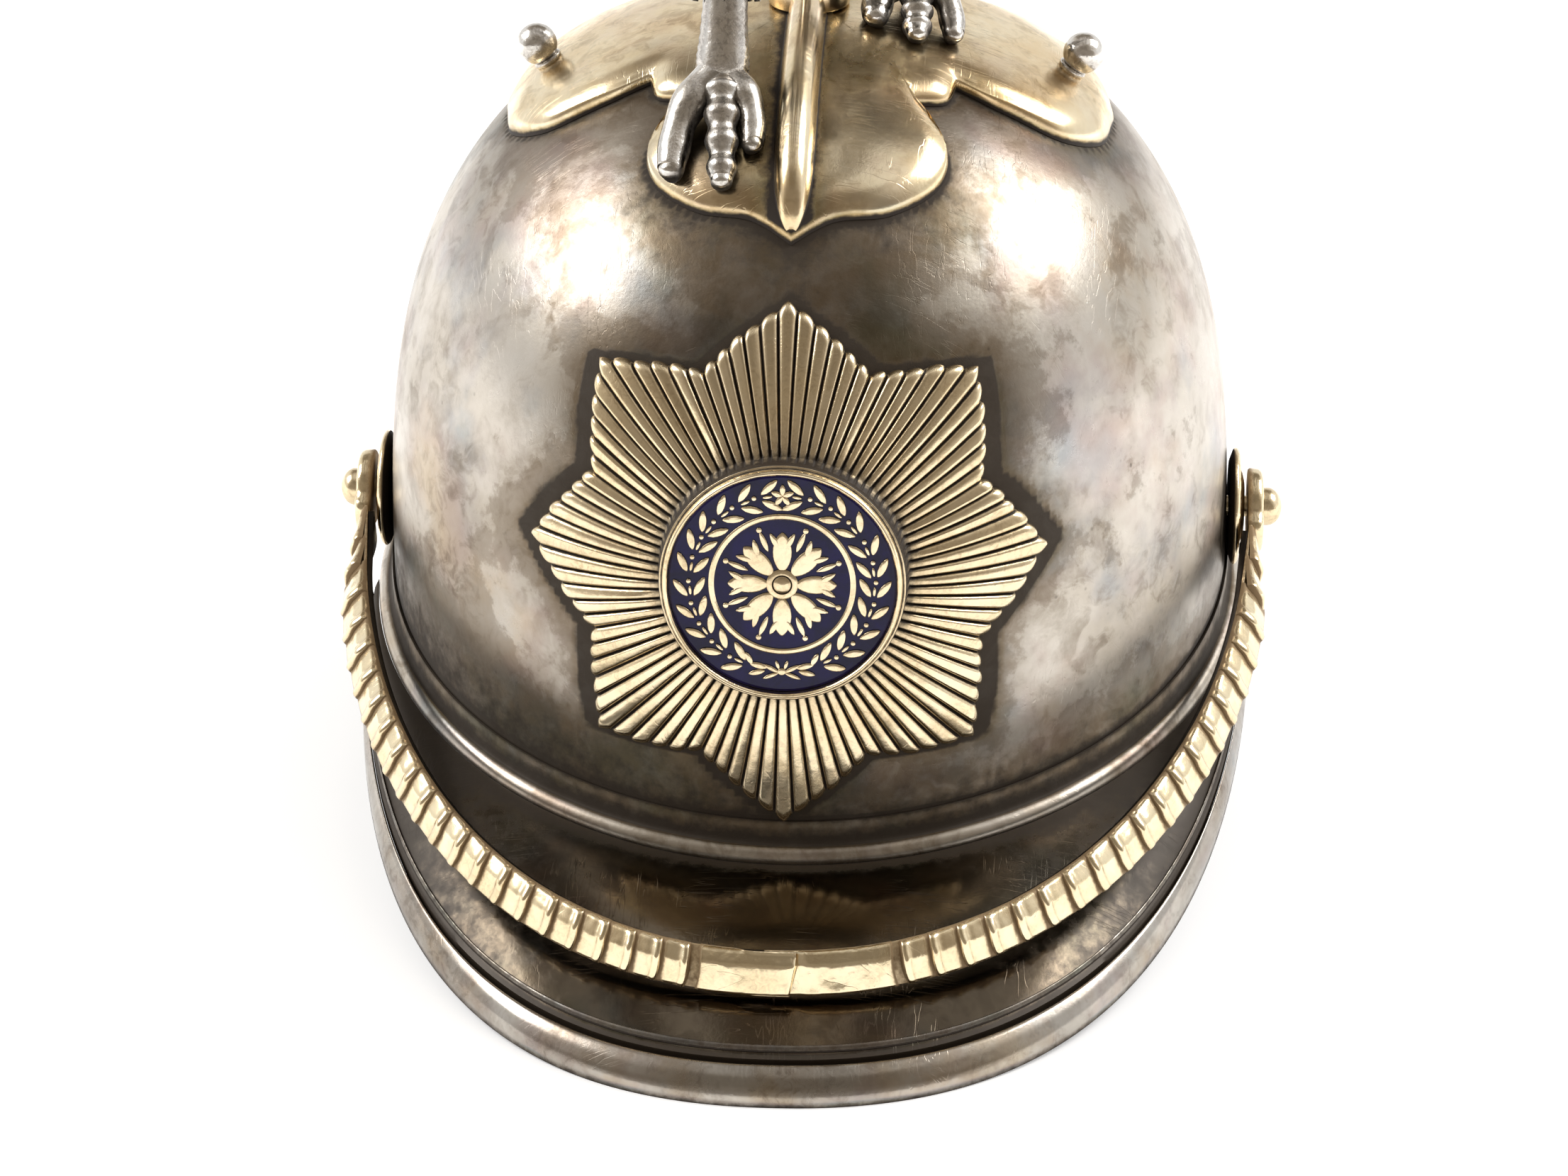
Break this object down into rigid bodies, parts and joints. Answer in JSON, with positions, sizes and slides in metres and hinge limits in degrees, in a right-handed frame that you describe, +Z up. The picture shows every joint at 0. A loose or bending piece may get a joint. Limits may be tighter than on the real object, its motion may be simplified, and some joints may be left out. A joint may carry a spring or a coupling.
{
  "type": "miniature cavalry helmet",
  "caption": "Small silver and gilt parade cavalry helmet with peak, laminated neck guard, rayed star badge, a swinging bow of chin scales and an eagle crest.",
  "frame": {"origin": "middle of the helmet in plan, on the surface it stands on", "axes": "+Z up from the surface to the top of the crest, -Y forwards past the star badge and the peak, +X to the side of the right chin scales as seen from the front"},
  "size_m": [0.0724, 0.1102, 0.1164],
  "materials": {
    "skull_silver": "silver, satin and cloudy with tarnish",
    "border_silver": "silver, polished, greyish film",
    "cast_silver": "cast silver, bright on top and black in the recesses",
    "dark_plate": "polished plate blackened by oxidation",
    "gilt": "pale gilt silver, polished, dirt in the recesses",
    "enamel": "deep navy vitreous enamel",
    "blackened_strip": "blackened metal strip, dull"
  },
  "bodies": {
    "helmet": {"bowl": "skull_silver", "base_bead": "border_silver", "peak": "dark_plate", "peak_border": "border_silver", "peak_inner_line": "border_silver", "neck_lame_upper": "dark_plate", "neck_lame_middle": "dark_plate", "neck_lame_lower": "dark_plate", "neck_border": "border_silver", "crest_plate": "gilt", "crest_fin_front": "gilt", "crest_fin_back": "gilt", "crest_boss": "gilt", "ball_studs": "cast_silver", "star": "gilt", "badge_bezel": "gilt", "badge_enamel": "enamel", "badge_inner_ring": "gilt", "badge_pellets": "gilt", "badge_flower": "gilt", "rosette_left": "gilt", "rosette_right": "gilt", "rivet_left": "gilt", "rivet_right": "gilt", "eagle_stud": "cast_silver", "eagle_nut": "cast_silver", "eagle_body": "cast_silver", "eagle_tail": "cast_silver", "eagle_leg_left": "cast_silver", "eagle_leg_right": "cast_silver", "eagle_wing_left": "cast_silver", "eagle_wing_right": "cast_silver", "eagle_head_left": "cast_silver", "eagle_head_right": "cast_silver", "eagle_crown": "gilt"},
    "chin_bow": {"bow_end_left": "gilt", "bow_end_right": "gilt", "bow_backing_left": "blackened_strip", "bow_backing_right": "blackened_strip", "chin_scales_left": "gilt", "chin_scales_right": "gilt", "bow_tip_left": "gilt", "bow_tip_right": "gilt"}
  },
  "joints": [
    {"name": "chin_bow_hinge", "type": "hinge", "parent": "helmet", "child": "chin_bow", "pos_m": [0, -0.001, 0.0206], "axis": [-1, 0, 0], "range_deg": [0, 85]}
  ]
}
